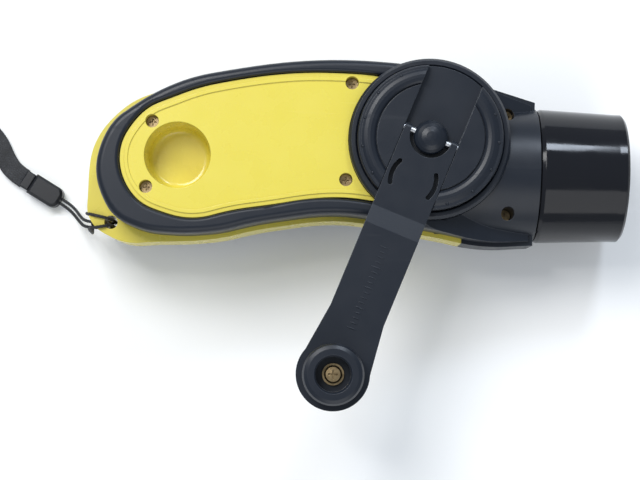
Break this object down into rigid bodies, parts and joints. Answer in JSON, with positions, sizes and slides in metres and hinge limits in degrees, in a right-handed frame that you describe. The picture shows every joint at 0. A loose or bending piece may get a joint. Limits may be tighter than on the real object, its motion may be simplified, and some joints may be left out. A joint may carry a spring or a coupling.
{
  "type": "hand crank flashlight",
  "caption": "Curved-grip torch with a side-mounted folding crank that drives a small generator, a twist head switch and a wrist lanyard.",
  "frame": {"origin": "centre of the round front opening, on the axis of the head, in the plane of its front rim", "axes": "+X the way the light shines, +Y towards the rounded back of the grip, +Z the crank side; it lies on its palm side, facing -Z"},
  "size_m": [0.315, 0.1347, 0.065],
  "materials": {
    "head_black": "gloss",
    "satin_black": "satin",
    "yellow_plastic": "satin gloss",
    "lens_clear": "clear",
    "lamp_clear": "clear",
    "reflector_silver": "bright",
    "screw_brass": "satin",
    "contact_brass": "satin",
    "steel_plain": "satin",
    "seal_rubber": "matte",
    "gear_white": "satin",
    "magnet_black": "matte",
    "coil_copper": "enamelled wire",
    "board_green": "satin",
    "chip_black": "matte",
    "sleeve_green": "satin",
    "lanyard_black": "woven",
    "connector_black": "satin"
  },
  "bodies": {
    "grip": {"neck_core": "satin_black", "head_clip": "steel_plain", "neck_seal": "seal_rubber", "contact_ring": "contact_brass", "frame_crank": "satin_black", "frame_palm": "satin_black", "shell_crank": "yellow_plastic", "shell_palm": "yellow_plastic", "palm_panel": "yellow_plastic", "crank_cover": "yellow_plastic", "cover_screws": "screw_brass", "neck_screws": "screw_brass", "crank_collar": "satin_black", "idler_axle": "steel_plain", "stator_lower": "steel_plain", "stator_upper": "steel_plain", "stator_coil": "coil_copper", "gear_plate": "gear_white", "gear_bridge": "gear_white", "circuit_board": "board_green", "rectifier_chip": "chip_black", "smoothing_capacitor": "chip_black", "storage_cell_1": "steel_plain", "storage_cell_2": "steel_plain", "storage_cell_3": "steel_plain", "cell_sleeve": "sleeve_green", "lanyard_string": "lanyard_black", "connector_body": "connector_black", "connector_ferrule": "connector_black", "lanyard_strap": "lanyard_black"},
    "head": {"head_tube": "head_black", "lens_retainer": "head_black", "lens": "lens_clear", "lamp_1": "lamp_clear", "lamp_2": "lamp_clear", "lamp_3": "lamp_clear", "reflector": "reflector_silver", "lamp_board": "board_green", "switch_wiper": "contact_brass"},
    "crank": {"crank_disc": "satin_black", "hinge_pin": "steel_plain", "centre_cap": "satin_black", "crank_shaft": "steel_plain", "drive_gear": "gear_white"},
    "arm": {"crank_arm": "satin_black", "knob_washer": "screw_brass", "knob_screw": "screw_brass"},
    "knob": {"knob": "satin_black"},
    "idler": {"idler_gear": "gear_white"},
    "rotor": {"rotor_shaft": "steel_plain", "rotor_pinion": "gear_white", "rotor_magnet": "magnet_black"}
  },
  "joints": [
    {"name": "crank_spin", "type": "hinge", "parent": "grip", "child": "crank", "pos_m": [-0.065, 0.0087, 0.02], "axis": [0, 0, 1], "continuous": true},
    {"name": "arm_fold", "type": "hinge", "parent": "crank", "child": "arm", "pos_m": [-0.065, 0.0087, 0.0259], "axis": [-0.9336, 0.3584, 0], "range_deg": [0, 180]},
    {"name": "knob_spin", "type": "hinge", "parent": "arm", "child": "knob", "pos_m": [-0.09421, -0.06739, 0.036], "axis": [0, 0, 1], "continuous": true},
    {"name": "head_twist", "type": "hinge", "parent": "grip", "child": "head", "pos_m": [0, 0, 0], "axis": [1, 0, 0], "range_deg": [-40, 0]},
    {"name": "idler_spin", "type": "hinge", "parent": "grip", "child": "idler", "pos_m": [-0.089, 0.0087, 0.006], "axis": [0, 0, 1], "continuous": true},
    {"name": "rotor_spin", "type": "hinge", "parent": "grip", "child": "rotor", "pos_m": [-0.1034, 0.0087, 0], "axis": [0, 0, 1], "continuous": true}
  ],
  "couplings": [
    {"joint": "idler_spin", "follows": "crank_spin", "ratio": -4},
    {"joint": "rotor_spin", "follows": "crank_spin", "ratio": 12}
  ]
}
